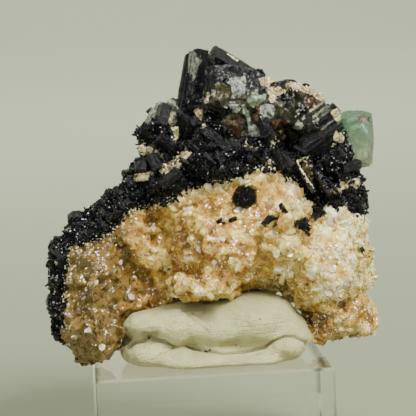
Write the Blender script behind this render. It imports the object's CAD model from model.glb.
"""Looks of a phantom fluorite specimen: fluorite and black schorl on golden muscovite, on a display block."""

import math
import random

import bmesh
import bpy
import numpy as np
from bpy.props import FloatProperty, FloatVectorProperty, IntProperty, PointerProperty
from bpy.types import Operator, Panel, PropertyGroup
from mathutils import Matrix, Vector, noise
from mathutils.bvhtree import BVHTree
from mathutils.kdtree import KDTree


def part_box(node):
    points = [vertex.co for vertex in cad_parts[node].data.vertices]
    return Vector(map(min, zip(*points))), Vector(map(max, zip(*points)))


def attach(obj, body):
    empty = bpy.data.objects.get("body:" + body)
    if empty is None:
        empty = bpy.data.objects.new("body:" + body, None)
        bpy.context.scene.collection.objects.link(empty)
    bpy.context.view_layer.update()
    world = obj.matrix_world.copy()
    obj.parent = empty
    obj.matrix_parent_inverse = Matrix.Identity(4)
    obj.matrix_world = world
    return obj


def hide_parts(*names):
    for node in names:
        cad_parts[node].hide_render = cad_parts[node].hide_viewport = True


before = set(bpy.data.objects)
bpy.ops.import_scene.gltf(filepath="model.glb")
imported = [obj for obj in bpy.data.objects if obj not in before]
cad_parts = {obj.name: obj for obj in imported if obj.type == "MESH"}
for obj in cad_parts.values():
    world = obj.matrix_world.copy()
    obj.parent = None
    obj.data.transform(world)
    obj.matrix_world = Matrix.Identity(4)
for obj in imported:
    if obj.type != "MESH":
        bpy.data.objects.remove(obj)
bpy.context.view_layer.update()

bl_info = {
    "name": "Phantom fluorite specimen",
    "version": (1, 0),
    "blender": (4, 5, 0),
    "location": "3D View > Sidebar > Specimen",
    "description": "Fluorite and schorl on muscovite, pressed into putty on an acrylic block",
    "category": "Add Mesh",
}

MM = 0.001
BODY = "root"

# The picture's camera: image size and focal length in pixels, its place in mm and its turns in degrees
PICTURE = 416
FOCAL = 2000
CAMERA_AT = (-23.1, -436.1, 109.5)
CAMERA_DOWN = 6.79
CAMERA_LEFT = 3.25
CAMERA_ROLL = 2.60
PIXEL_MM = 0.21

# The large schorl crystals, in mm: name, root, tip, radius, sides (over 7: grooves), how the tip ends
LARGE_SCHORL = (
    ("tall_column", (-4.4, -2.5, 70), (0.8, -1, 92.6), 2.5, 12, "broken"),
    ("tall_column_rib", (-0.8, -2.2, 74), (2.6, -1.4, 89.8), 1.7, 5, "broken"),
    ("wedge", (14.6, 1.5, 84.2), (3.7, 2.0, 91.4), 2.4, 4, "broken"),
    ("wedge_foot", (1.0, 0.9, 80), (3.2, 0.9, 91.2), 1.9, 5, "broken"),
    ("bundle_upper", (20.4, -7, 72.0), (29.8, -8, 78.6), 2.2, 8, "pyramid"),
    ("bundle_lower", (21.4, -8, 69.6), (30.6, -9, 74.8), 2.4, 9, "pyramid"),
    ("bundle_rib_a", (21.6, -8.9, 73.9), (29.4, -9.6, 79.5), 0.75, 4, "broken"),
    ("bundle_rib_b", (21.2, -9.4, 72.3), (30.2, -10.1, 78.6), 0.8, 5, "broken"),
    ("bundle_rib_c", (22.0, -9.5, 71.0), (30.6, -10.1, 77.1), 0.7, 4, "broken"),
    ("bundle_rib_d", (22.6, -10.2, 69.4), (31.0, -10.8, 75.2), 0.8, 4, "broken"),
    ("fan_outer", (19.6, -10, 68.6), (23.6, -16, 61.4), 1.0, 6, "pyramid"),
    ("fan_inner", (22.6, -9, 69.0), (27.0, -15.5, 60.6), 1.2, 6, "pyramid"),
    ("fan_short", (24.4, -9, 66.0), (29.6, -13.5, 60.0), 1.3, 7, "pyramid"),
    ("left_point", (-26.2, -1, 53.0), (-28.2, -2, 58.6), 2.0, 6, "pyramid"),
    ("round_stub", (-10.4, -1, 64.0), (-12.3, -1.4, 69.0), 1.9, 7, "broken"),
)
# The fan's blades are this much slimmer than their solids
FAN_SLIMMER = 0.55
FLUORITES = ("fluorite_green", "fluorite_centre", "fluorite_grey")

# The rosettes' cores: their share of the solid's size
ROSETTES = {"schorl_rosette": 0.84, "schorl_tuft_right": 0.7, "schorl_tuft_upper": 0.85}

# Other schorl crystals, placed where the picture shows them: pixel of one end, pixel of the other,
# radius in mm, sides, how the tip ends
SEEN_SCHORL = (
    (164, 104, 159, 127, 1.6, 5, "broken"), (160, 136, 175, 150, 1.2, 9, "broken"),
    (204, 131, 233, 153, 1.7, 4, "broken"), (216, 162, 240, 142, 1.4, 5, "broken"),
    (152, 157, 160, 171, 1.5, 7, "broken"), (150, 181, 182, 190, 1.2, 4, "broken"),
    (160, 186, 181, 170, 1.4, 6, "pyramid"), (205, 156, 218, 165, 1.0, 4, "broken"),
    (240, 149, 262, 164, 1.5, 8, "broken"), (243, 145, 257, 156, 1.2, 6, "pyramid"),
    (275, 152, 292, 166, 1.5, 5, "broken"), (292, 131, 307, 116, 1.6, 8, "broken"),
    (304, 127, 307, 141, 0.5, 4, "broken"), (337, 146, 340, 161, 1.5, 5, "pyramid"),
    (340, 169, 358, 164, 1.5, 6, "broken"), (336, 176, 350, 172, 1.2, 5, "pyramid"),
    (262, 139, 269, 148, 1.2, 6, "broken"), (256, 167, 269, 171, 0.9, 6, "pyramid"),
    (261, 120, 271, 137, 1.5, 5, "broken"), (230, 141, 252, 161, 1.3, 5, "broken"),
    (209, 104, 226, 113, 0.8, 6, "broken"), (205, 111, 221, 121, 0.8, 5, "broken"),
    (286, 126, 298, 138, 0.9, 5, "broken"), (188, 142, 200, 152, 0.8, 6, "broken"),
    (200, 170, 214, 178, 0.8, 5, "pyramid"), (231, 165, 247, 172, 0.8, 6, "broken"),
    (178, 112, 192, 122, 0.8, 5, "broken"), (302, 146, 316, 154, 0.8, 5, "pyramid"),
    (322, 158, 330, 172, 0.7, 5, "broken"), (345, 196, 358, 200, 1.2, 5, "broken"),
    (330, 196, 340, 206, 1.1, 6, "pyramid"), (100, 222, 108, 231, 1.1, 5, "pyramid"),
    (120, 208, 131, 202, 1.1, 5, "broken"), (84, 232, 93, 240, 1.0, 5, "broken"),
    (56, 252, 63, 259, 1.0, 6, "pyramid"), (142, 172, 142, 159, 1.5, 9, "broken"),
    (186, 134, 197, 126, 0.7, 5, "broken"), (168, 176, 186, 181, 0.8, 5, "pyramid"),
    (216, 172, 232, 166, 0.7, 5, "broken"), (180, 160, 196, 168, 0.8, 4, "broken"),
    (326, 180, 336, 190, 0.6, 5, "broken"), (348, 186, 356, 194, 0.7, 5, "pyramid"),
    (108, 218, 122, 212, 1.0, 5, "broken"), (132, 196, 146, 190, 0.8, 5, "broken"),
)

# Small dark blades on the muscovite, placed in the same way
SEEN_BLADES = (
    (281, 204, 287, 213, 0.55, 4, "broken"), (263, 225, 271, 216, 0.75, 5, "broken"),
    (267, 222, 274, 216, 0.6, 4, "broken"), (273, 227, 277, 222, 0.35, 4, "broken"),
    (275, 219, 280, 217, 0.3, 5, "pyramid"), (217, 222, 222, 219, 0.4, 5, "broken"),
    (219, 223, 226, 223, 0.3, 4, "broken"), (229, 221, 237, 218, 0.5, 5, "broken"),
    (313, 218, 322, 211, 1.0, 5, "broken"), (297, 224, 306, 221, 1.0, 5, "broken"),
    (306, 232, 310, 235, 0.4, 5, "broken"), (334, 207, 339, 211, 0.5, 4, "pyramid"),
    (199, 261, 200, 262, 0.3, 5, "broken"), (311, 208, 316, 206, 0.5, 5, "pyramid"),
    (281, 206, 283, 211, 0.7, 5, "broken"), (361, 247, 364, 255, 0.5, 5, "broken"),
)

# Coloured places of the stone's top, each outlined by pixels of the picture
PLACES = {
    "cream": (
        ((159, 170), (167, 162), (174, 159), (179, 155), (183, 151), (188, 151), (189, 157), (182, 162),
         (180, 168), (176, 174), (162, 174)),
        ((170, 111), (173, 112), (173, 122), (175, 129), (178, 132), (178, 138), (175, 141), (173, 140),
         (174, 135), (171, 127), (168, 123), (170, 118)),
        ((193, 110), (198, 108), (203, 113), (202, 120), (199, 120), (196, 116)),
        ((201, 124), (206, 124), (207, 129), (204, 132), (201, 128)),
        ((139, 142), (143, 139), (145, 146), (150, 147), (158, 149), (166, 155), (164, 159), (158, 156),
         (152, 155), (150, 161), (151, 169), (147, 169), (147, 157), (145, 151), (141, 149)),
        ((131, 180), (137, 173), (146, 166), (149, 166), (153, 173), (150, 179), (144, 181), (136, 181)),
        ((203, 103), (207, 92), (210, 94), (210, 102)),
        ((330, 112), (337, 108), (343, 112), (344, 118), (340, 123), (335, 120)),
        ((258, 80), (261, 77), (268, 78), (271, 82), (268, 87), (262, 86)),
        ((265, 91), (270, 86), (276, 86), (280, 87), (285, 91), (284, 96), (276, 96), (275, 102), (270, 103),
         (269, 96)),
        ((284, 86), (296, 82), (304, 85), (313, 87), (319, 92), (326, 94), (328, 101), (320, 101), (312, 95),
         (304, 92), (295, 90), (287, 90)),
        ((275, 138), (277, 131), (281, 128), (284, 132), (287, 136), (283, 139), (280, 142)),
        ((257, 138), (263, 139), (277, 142), (270, 151), (266, 151), (270, 145), (262, 142)),
        ((244, 143), (250, 144), (255, 150), (252, 151), (247, 148)),
        ((333, 137), (336, 130), (340, 134), (338, 141), (334, 141)),
        ((332, 144), (337, 144), (336, 151), (332, 150)),
        ((296, 161), (305, 156), (309, 161), (313, 172), (313, 187), (305, 180), (300, 168)),
        ((264, 161), (270, 159), (272, 165), (267, 166)),
        ((339, 182), (350, 181), (350, 188), (341, 189)), ((333, 189), (342, 189), (341, 194), (334, 194)),
        ((221, 49), (224, 50), (239, 60), (237, 62)), ((209, 164), (214, 159), (217, 161), (213, 165)),
    ),
    "worn": (
        ((189, 52), (195, 51), (197, 57), (203, 61), (198, 66), (195, 78), (193, 82), (192, 72), (190, 78),
         (188, 72), (188, 62)),
        ((163, 104), (169, 97), (177, 96), (176, 108), (171, 108)),
        ((312, 116), (330, 103), (331, 106), (313, 119)), ((314, 120), (331, 107), (332, 110), (315, 123)),
        ((320, 128), (335, 116), (336, 119), (321, 131)), ((306, 112), (324, 100), (326, 102), (308, 114)),
        ((292, 128), (304, 114), (306, 122), (298, 132)),
    ),
    "frosted": (
        ((222, 80), (229, 78), (236, 77), (245, 76), (246, 85), (244, 93), (238, 98), (233, 99), (232, 91),
         (231, 86), (227, 83)),
        ((257, 108), (264, 104), (272, 104), (275, 109), (274, 117), (267, 118), (262, 120), (260, 116)),
        ((231, 106), (238, 104), (241, 108), (238, 114), (232, 113)),
        ((249, 125), (255, 124), (260, 131), (259, 137), (252, 136), (249, 131)),
        ((212, 89), (216, 90), (215, 96), (211, 96)),
    ),
    "green": (
        ((241, 104), (245, 105), (249, 112), (251, 121), (251, 131), (248, 128), (246, 117), (242, 110)),
        ((250, 94), (257, 89), (259, 94), (266, 94), (265, 100), (260, 105), (255, 108), (250, 106), (247, 100)),
    ),
    "rust": (
        ((233, 114), (239, 114), (244, 121), (240, 124), (233, 119)),
        ((254, 105), (260, 107), (260, 112), (255, 111)), ((254, 113), (260, 116), (258, 124), (254, 120)),
        ((222, 121), (230, 118), (237, 124), (244, 135), (240, 139), (230, 129)),
        ((272, 120), (280, 119), (291, 122), (282, 129), (277, 131), (273, 127)),
        ((304, 97), (313, 97), (320, 102), (313, 108), (307, 111)),
        ((330, 130), (337, 128), (336, 134), (333, 141), (330, 138)),
    ),
    "olive": (
        ((232, 105), (241, 97), (255, 89), (259, 91), (250, 101), (241, 105)),
        ((212, 84), (221, 82), (231, 88), (233, 94), (222, 101), (213, 98)),
    ),
    "purple": (
        ((261, 86), (267, 87), (265, 92), (261, 92)), ((136, 141), (137, 133), (144, 122), (146, 127), (138, 144)),
        ((324, 146), (330, 146), (330, 153), (324, 153)),
    ),
}

# Places of the green fluorite
GREEN_PLACES = {
    "rusty": (
        ((357, 116), (364, 113), (371, 117), (372, 122), (366, 121), (361, 124), (357, 121)),
        ((370, 122), (374, 123), (374, 143), (370, 140)),
    ),
    "veil": (
        ((345, 120), (352, 117), (361, 117), (354, 121), (347, 123)), ((359, 115), (362, 116), (363, 126), (360, 126)),
        ((347, 127), (357, 124), (363, 127), (354, 130)), ((349, 162), (353, 147), (356, 146), (353, 163)),
        ((356, 164), (358, 149), (361, 149), (360, 164)), ((363, 160), (365, 147), (368, 149), (366, 160)),
        ((341, 160), (352, 163), (364, 164), (362, 168), (348, 168)),
    ),
    "deep": (
        ((341, 108), (347, 109), (348, 140), (346, 166), (340, 162)), ((345, 109), (366, 110), (370, 115), (346, 117)),
    ),
}

# Small cream crumbs among the schorl: pixel, and radius in mm
CRUMBS = (
    (62, 236, 0.5), (69, 232, 0.5), (98, 214, 0.5), (57, 262, 0.5), (55, 292, 0.5), (60, 318, 0.6),
    (355, 175, 0.6), (357, 182, 0.6),
)

# Paler and rustier places of the muscovite: pixel, and radius in mm
PALE_MICA = (
    (238, 178, 1.8), (246, 186, 1.4), (272, 172, 1.6), (285, 181, 1.8), (293, 191, 1.6), (329, 289, 2.2),
    (340, 287, 1.8), (355, 281, 1.5), (199, 293, 1.4), (186, 209, 0.9), (337, 252, 1.3), (311, 274, 1.2),
    (344, 240, 1.8), (352, 262, 1.8), (322, 229, 1.2), (320, 250, 1.4), (283, 270, 1.4), (186, 257, 0.9),
    (222, 186, 1.4), (300, 204, 1.3), (348, 222, 1.4), (233, 283, 0.8), (290, 236, 1.3), (262, 222, 1.2),
)
RUSTY_MICA = (
    (205, 211, 2.0), (200, 271, 3.4), (182, 236, 2.2), (311, 257, 1.4), (280, 184, 0.9), (225, 272, 2.2),
    (213, 226, 1.4), (175, 262, 1.8), (268, 245, 1.6), (240, 248, 1.4), (95, 268, 2.2), (320, 322, 3.0),
    (335, 334, 2.4), (150, 285, 2.4), (105, 300, 2.0), (298, 262, 1.2), (250, 292, 1.5),
)

# Large clear plates of muscovite: pixel, width and height in pixels, turn in degrees
SEEN_PLATES = (
    (239, 210, 12, 9, 10), (170, 284, 7, 15, -20), (167, 269, 9, 9, 30), (185, 283, 7, 10, 15),
    (233, 283, 7, 12, 5), (279, 268, 12, 10, 20), (290, 272, 9, 10, -25), (311, 274, 12, 12, 0),
    (349, 281, 13, 11, -15), (361, 279, 9, 11, 20), (330, 222, 9, 8, 30), (271, 204, 9, 8, 0),
    (199, 249, 7, 10, 0), (344, 252, 8, 8, 15), (323, 268, 7, 7, 40), (331, 271, 7, 8, -10),
    (328, 291, 12, 10, 35), (338, 294, 10, 9, -30), (186, 209, 8, 6, -25), (223, 239, 8, 7, 20),
    (120, 262, 8, 7, 10), (96, 283, 7, 8, -20), (137, 240, 7, 7, 0), (252, 232, 8, 8, 15),
    (299, 226, 8, 7, -15), (356, 240, 7, 8, 10), (214, 262, 7, 8, 30), (263, 288, 8, 7, 0),
    (154, 229, 7, 8, -10), (88, 330, 8, 8, 20), (102, 347, 8, 7, -20), (131, 297, 7, 8, 15),
)

# The putty's folds: pixels along each, its depth and half width in mm
PUTTY_FOLDS = (
    (((128, 347), (135, 342), (150, 340), (165, 342), (180, 346), (200, 349), (225, 353), (245, 351),
      (265, 347), (274, 341), (285, 336), (295, 336), (304, 342), (309, 350)), 1.1, 0.5),
    (((184, 311), (196, 321), (210, 333)), 0.35, 0.30),
    (((190, 311), (203, 319), (214, 330)), 0.30, 0.25),
    (((197, 313), (214, 322), (226, 326)), 0.22, 0.25),
    (((214, 318), (224, 324), (234, 324)), 0.20, 0.22),
    (((246, 320), (250, 327), (255, 332)), 0.20, 0.25),
    (((226, 336), (231, 342), (236, 347)), 0.20, 0.20),
    (((150, 360), (157, 358), (162, 352)), 0.35, 0.30),
    (((160, 355), (169, 351), (176, 350)), 0.25, 0.30),
)
# Thumb prints and lobes of the putty: pixel, radius in pixels, height in mm
PUTTY_LUMPS = (
    ((150, 334), 13, -0.8), ((132, 324), 9, 0.4), ((290, 350), 14, 0.7), ((262, 318), 24, 0.5),
    ((180, 322), 17, 0.5), ((140, 352), 10, 0.3), ((208, 312), 13, -0.5),
)
# Where its outline swells: pixel, radius in pixels, height in mm
PUTTY_SWELLS = (((122, 331), 13, 1.3), ((178, 346), 16, 0.9), ((308, 338), 12, 0.8))
# How far above the block's top face the putty's flat underside lies, in mm
PUTTY_REST = 0.05
PUTTY_SPECKS = ((206, 352, 0.55), (210, 350, 0.4), (260, 319, 0.3), (132, 349, 0.35), (149, 338, 0.5), (236, 345, 0.25))
PUTTY_RUST = ((195, 324, 0.3), (209, 312, 0.3), (182, 333, 0.3), (175, 322, 0.5), (294, 353, 0.6), (303, 349, 0.4))


# Node building


class Value:
    """A node's output that adds Math nodes when it is used in arithmetic."""

    def __init__(self, wires, socket):
        self.wires = wires
        self.socket = socket

    def math(self, operation, first, second=0.0):
        made = self.wires.node("ShaderNodeMath", {"operation": operation}, {0: first, 1: second})
        return Value(self.wires, made.outputs[0])

    def __add__(self, other):
        return self.math("ADD", self, other)

    def __radd__(self, other):
        return self.math("ADD", other, self)

    def __sub__(self, other):
        return self.math("SUBTRACT", self, other)

    def __rsub__(self, other):
        return self.math("SUBTRACT", other, self)

    def __mul__(self, other):
        return self.math("MULTIPLY", self, other)

    def __rmul__(self, other):
        return self.math("MULTIPLY", other, self)

    def __truediv__(self, other):
        return self.math("DIVIDE", self, other)

    def __pow__(self, other):
        return self.math("POWER", self, other)

    def above(self, limit):
        return self.math("GREATER_THAN", self, limit)

    def least(self, other):
        return self.math("MINIMUM", self, other)

    def most(self, other):
        return self.math("MAXIMUM", self, other)

    def wave(self):
        return self.math("SINE", self)

    def size(self):
        return self.math("ABSOLUTE", self)


class Wires:
    """Adds nodes to one tree, a material's or a scatter's."""

    def __init__(self, tree):
        self.tree = tree

    def node(self, kind, settings=None, inputs=None):
        made = self.tree.nodes.new(kind)
        for name, value in (settings or {}).items():
            if name == "stops":
                self.fill_ramp(made.color_ramp, value)
            else:
                setattr(made, name, value)
        for key, value in (inputs or {}).items():
            socket = made.inputs[key]
            if isinstance(value, Value):
                value = value.socket
            if isinstance(value, bpy.types.NodeSocket):
                self.tree.links.new(value, socket)
            else:
                socket.default_value = value
        return made

    def fill_ramp(self, ramp, stops):
        while len(ramp.elements) > 1:
            ramp.elements.remove(ramp.elements[-1])
        for index, (place, colour) in enumerate(stops):
            stop = ramp.elements[0] if index == 0 else ramp.elements.new(place)
            stop.position = place
            stop.color = colour

    def value(self, kind, settings=None, inputs=None, output=0):
        return Value(self, self.node(kind, settings, inputs).outputs[output])


class Finish(Wires):
    """A procedural material around one Principled shader, patterned in the piece's own coordinates."""

    def __init__(self, name, **fixed):
        self.material = bpy.data.materials.new(name)
        self.material.use_nodes = True
        super().__init__(self.material.node_tree)
        self.tree.nodes.clear()
        self.shader = self.node("ShaderNodeBsdfPrincipled", None, fixed)
        self.out = self.node("ShaderNodeOutputMaterial", None, {"Surface": self.shader.outputs[0]})
        self.place = self.node("ShaderNodeTexCoord").outputs["Object"]

    def stretched(self, scale, turn=(0, 0, 0)):
        turn = [math.radians(angle) for angle in turn]
        made = self.node(
            "ShaderNodeMapping", None, {"Vector": self.place, "Scale": scale, "Rotation": turn}
        )
        return made.outputs[0]

    def noise(self, size, detail=4, rough=0.55, vector=None, twist=0.0):
        """Cloudy noise from 0 to 1 whose blotches are about this size."""
        inputs = {
            "Vector": vector or self.place, "Scale": 1 / size, "Detail": detail,
            "Roughness": rough, "Distortion": twist,
        }
        return self.value("ShaderNodeTexNoise", None, inputs)

    def cells(self, size, output="Distance", feature="F1", vector=None):
        inputs = {"Vector": vector or self.place, "Scale": 1 / size}
        made = self.node("ShaderNodeTexVoronoi", {"feature": feature}, inputs)
        return Value(self, made.outputs[output])

    def facets(self, size, slope):
        """The height of flat facets of about this size, each tilted its own way."""
        spread = self.node("ShaderNodeTexVoronoi", None, {"Vector": self.place, "Scale": 1 / size}).outputs
        away = self.node("ShaderNodeVectorMath", {"operation": "SUBTRACT"}, {0: self.place, 1: spread["Position"]})
        lean = self.node("ShaderNodeVectorMath", {"operation": "SUBTRACT"}, {0: spread["Color"], 1: (0.5, 0.5, 0.5)})
        tilted = self.node(
            "ShaderNodeVectorMath", {"operation": "DOT_PRODUCT"}, {0: away.outputs[0], 1: lean.outputs[0]}
        )
        return Value(self, tilted.outputs["Value"]) * slope

    def creases(self, size, width):
        """1 on thin lines between cells of about this size."""
        return 1 - self.between(self.cells(size, "Distance", "DISTANCE_TO_EDGE"), 0, width)

    def ramp(self, value, stops, soft="LINEAR"):
        made = self.node("ShaderNodeValToRGB", {"stops": stops}, {0: value})
        made.color_ramp.interpolation = soft
        return Value(self, made.outputs[0])

    def between(self, value, low, high):
        """Rises smoothly from 0 at low to 1 at high."""
        inputs = {0: value, 1: low, 2: high}
        return self.value("ShaderNodeMapRange", {"interpolation_type": "SMOOTHSTEP"}, inputs)

    def mix(self, factor, first, second, way="MIX"):
        made = self.node(
            "ShaderNodeMix", {"data_type": "RGBA", "blend_type": way}, {0: factor, 6: first, 7: second}
        )
        return Value(self, made.outputs[2])

    def bump(self, height, distance, strength=1.0, under=None):
        inputs = {"Height": height, "Distance": distance, "Strength": strength}
        if under:
            inputs["Normal"] = under
        return self.value("ShaderNodeBump", None, inputs)

    def attribute(self, name):
        return self.value("ShaderNodeAttribute", {"attribute_name": name}, None, "Fac")

    def axis(self, letter):
        made = self.node("ShaderNodeSeparateXYZ", None, {0: self.place})
        return Value(self, made.outputs[letter])

    def set(self, **links):
        for name, value in links.items():
            key = name.replace("_", " ")
            self.tree.links.new(value.socket, self.shader.inputs[key])
        return self.material


def tint(red, green, blue):
    """A display colour, 0 to 255, as linear red, green, blue and alpha."""
    made = []
    for level in (red, green, blue):
        part = level / 255
        made.append(part / 12.92 if part <= 0.04045 else ((part + 0.055) / 1.055) ** 2.4)
    return (*made, 1.0)


# Finishes


def mica_finish(name, looks, plates):
    """Golden muscovite: pale on its crests, stained in its hollows, darker on the left and below."""
    if plates:
        finish = Finish(name, **{"Roughness": 0.15, "IOR": 1.58, "Transmission Weight": 0.3})
    else:
        finish = Finish(name, **{
            "Roughness": 0.3, "IOR": 1.58, "Subsurface Weight": 0.4, "Subsurface Radius": (1.0, 0.65, 0.3),
            "Subsurface Scale": 0.9 * MM,
        })
    region = finish.noise(8 * MM, 3, 0.6)
    patch = finish.noise(2.4 * MM, 3, 0.6)
    fine = finish.noise(0.5 * MM, 5, 0.7)
    left = 1 - finish.between(finish.axis("X"), -24 * MM, -8 * MM)
    right = finish.between(finish.axis("X"), 10 * MM, 26 * MM)
    low = 1 - finish.between(finish.axis("Z"), 33 * MM, 46 * MM)
    cell = finish.cells(1.8 * MM, "Color")
    level = finish.attribute("lift") * 0.4 + patch * 0.35 + cell * 0.3 + fine * 0.12
    level = level - left * 0.46 + right * 0.20 - low * right * 0.24
    level = level + finish.attribute("pale") * 0.30 - finish.attribute("rusty") * 0.14
    level = level + finish.attribute("rim") * 0.30
    if plates:
        level = level + finish.attribute("tone") * 0.35 - 0.18
    else:
        level = level - 0.14
    body = finish.ramp(level, (
        (0.12, looks.deep), (0.32, looks.orange), (0.52, looks.gold), (0.74, looks.pale), (0.98, looks.white),
    ))
    stain = finish.between(region, 0.48, 0.70) * (1 - right * 0.6)
    stained = finish.mix(stain * 0.5, body, finish.ramp(patch, ((0.25, looks.orange), (0.75, looks.gold))))
    colour = finish.mix(left * 0.85, stained, looks.olive)
    creased = finish.creases(3.0 * MM, 0.09).most(finish.creases(1.3 * MM, 0.10) * 0.6)
    creased = creased * finish.between(finish.noise(2.0 * MM, 2, 0.5), 0.45, 0.6)
    colour = finish.mix(creased * (0.3 if plates else 0.75), colour, tint(124, 84, 36))
    spark = finish.between(finish.noise(0.45 * MM, 2, 0.6), 0.56, 0.62)
    spark = spark * finish.between(patch + finish.attribute("pale") * 0.2 + right * 0.09 - left * 0.10, 0.54, 0.62)
    colour = finish.mix(spark * 0.9, colour, tint(255, 251, 230))
    relief = finish.bump(finish.facets(1.7 * MM, 0.5 if plates else 1.1), 1.0)
    relief = finish.bump(finish.facets(0.6 * MM, 0.6), 1.0, 1.0, relief)
    rough = finish.between(fine, 0.25, 0.75) * 0.22 + 0.05
    return finish.set(Base_Color=colour, Roughness=rough, Normal=relief)


def clear_mica_finish():
    """Large clear plates of muscovite, faintly golden and glossy."""
    finish = Finish("clear muscovite", **{"Roughness": 0.08, "IOR": 1.58, "Transmission Weight": 0.5})
    patch = finish.noise(1.5 * MM, 4, 0.6)
    colour = finish.mix(finish.between(patch, 0.35, 0.65), tint(214, 190, 138), tint(246, 240, 216))
    relief = finish.bump(finish.facets(0.9 * MM, 0.35), 1.0)
    return finish.set(Base_Color=colour, Roughness=patch * 0.25 + 0.02, Normal=relief)


def cream_finish(name):
    """Small pale plates and dust of muscovite among the schorl."""
    finish = Finish(name, **{
        "Roughness": 0.4, "IOR": 1.56, "Subsurface Weight": 0.2, "Subsurface Radius": (1.0, 0.7, 0.4),
        "Subsurface Scale": 0.5 * MM,
    })
    grain = finish.noise(0.6 * MM, 4, 0.7)
    colour = finish.ramp(grain * 0.8 + finish.attribute("tone") * 0.3, (
        (0.34, tint(92, 76, 48)), (0.46, tint(176, 156, 112)), (0.62, tint(222, 210, 172)),
        (0.76, tint(246, 240, 218)),
    ))
    relief = finish.bump(finish.facets(0.5 * MM, 0.7), 1.0)
    return finish.set(Base_Color=colour, Roughness=grain * 0.4 + 0.1, Normal=relief)


def schorl_finish(name, looks, grooved):
    """Glossy black schorl, dusty, worn or cream where it is marked, and striped along its prisms."""
    finish = Finish(name, **{"Roughness": 0.15, "IOR": 1.62, "Specular IOR Level": 0.16 if grooved else 0.28})
    dust = finish.noise(0.8 * MM, 5, 0.7)
    region = finish.noise(7 * MM, 2, 0.5)
    ragged = (dust - 0.5) * 1.6
    fresh = finish.mix(finish.between(dust + region * 0.3, 0.76, 0.94) * 0.3, looks.black, looks.grey)
    across_it = finish.noise(0.30 * MM, 3, 0.6, finish.stretched((1, 1, 0.3), (25, 0, 0)))
    along_it = finish.noise(0.30 * MM, 3, 0.6, finish.stretched((0.3, 1, 1), (0, 35, 20)))
    flecks = finish.between(across_it, 0.66, 0.72).most(finish.between(along_it, 0.67, 0.73))
    fresh = finish.mix(flecks * (0.3 if grooved else 0.9), fresh, tint(182, 184, 170))
    relief = finish.bump(finish.facets(1.2 * MM, 0.45 if grooved else 0.9), 1.0)
    relief = finish.bump(finish.facets(0.4 * MM, 0.55 if grooved else 0.9), 1.0, 1.0, relief)
    rough = finish.between(dust, 0.4, 0.75) * 0.12 + 0.05
    if grooved:
        across = finish.node("ShaderNodeUVMap", {"uv_map": "UVMap"}).outputs[0]
        parts = finish.node("ShaderNodeSeparateXYZ", None, {0: across})
        around = Value(finish, parts.outputs["X"])
        lines = finish.value(
            "ShaderNodeTexNoise", {"noise_dimensions": "1D"}, {"W": around * 60, "Detail": 4, "Roughness": 0.7}
        )
        relief = finish.bump(lines, 0.10 * MM, 1.0, relief)
        fresh = finish.mix(finish.between(lines, 0.64, 0.69) * 0.45, fresh, tint(140, 142, 130))
    worn = finish.between(finish.attribute("worn") + ragged * 0.5, 0.35, 0.6)
    colour = finish.mix(worn, fresh, finish.ramp(dust, ((0.36, tint(34, 36, 32)), (0.66, tint(132, 135, 122)))))
    cream = finish.between(finish.attribute("cream") + ragged * 0.9, 0.42, 0.62)
    creams = ((0.32, tint(64, 54, 32)), (0.54, tint(212, 200, 148)), (0.7, tint(242, 234, 202)))
    colour = finish.mix(cream, colour, finish.ramp(dust, creams))
    rough = rough + (worn + cream) * 0.4
    return finish.set(Base_Color=colour, Roughness=rough, Normal=relief)


def green_fluorite_finish(looks):
    finish = Finish("green fluorite", **{
        "Roughness": 0.12, "IOR": 1.434, "Transmission Weight": 0.75, "Coat Weight": 0.0,
    })
    low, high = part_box("fluorite_green")
    up = finish.between(finish.axis("Z"), low.z, high.z)
    cloud = finish.noise(2.2 * MM, 4, 0.6)
    fine = finish.noise(0.6 * MM, 5, 0.65)
    ragged = (fine - 0.5) * 1.2 + (cloud - 0.5) * 0.6
    body = finish.ramp(up + (cloud - 0.5) * 0.5, (
        (0.1, tint(164, 172, 140)), (0.4, tint(140, 162, 132)), (0.7, tint(128, 160, 132)), (1.0, tint(108, 150, 120)),
    ))
    body = finish.mix(finish.between(fine, 0.5, 0.75) * 0.5, body, tint(196, 206, 186))
    for mark, share, shade in (
        ("deep", 0.6, tint(78, 132, 100)), ("veil", 0.5, tint(216, 222, 206)), ("rusty", 0.9, tint(100, 60, 32)),
    ):
        here = finish.between(finish.attribute(mark) + ragged * 1.0, 0.4, 0.8)
        body = finish.mix(here * share, body, shade)
    colour = body
    relief = finish.bump(finish.facets(1.5 * MM, 0.3), 1.0)
    relief = finish.bump(fine, 0.16 * MM, 0.7, relief)
    rough = finish.between(cloud, 0.3, 0.8) * 0.35 + 0.12
    return finish.set(Base_Color=colour, Roughness=rough, Normal=relief)


def marked_colours(finish, colour, speck, cloud):
    """The outlined places of a fluorite, with ragged edges, over its own colour."""
    ragged = (speck - 0.5) * 1.5 + (cloud - 0.5) * 0.9
    for mark, dark, light in (
        ("olive", tint(24, 22, 12), tint(96, 90, 58)),
        ("green", tint(60, 78, 54), tint(178, 196, 160)),
        ("frosted", tint(64, 70, 60), tint(208, 212, 198)),
        ("rust", tint(30, 22, 14), tint(112, 84, 54)),
        ("cream", tint(116, 94, 52), tint(234, 218, 166)),
        ("purple", tint(38, 30, 48), tint(92, 80, 104)),
        ("worn", tint(112, 116, 92), tint(176, 178, 152)),
    ):
        shade = finish.mix(finish.between(speck, 0.36, 0.64), dark, light)
        colour = finish.mix(finish.between(finish.attribute(mark) + ragged * 0.9, 0.42, 0.66), colour, shade)
    return colour


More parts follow.
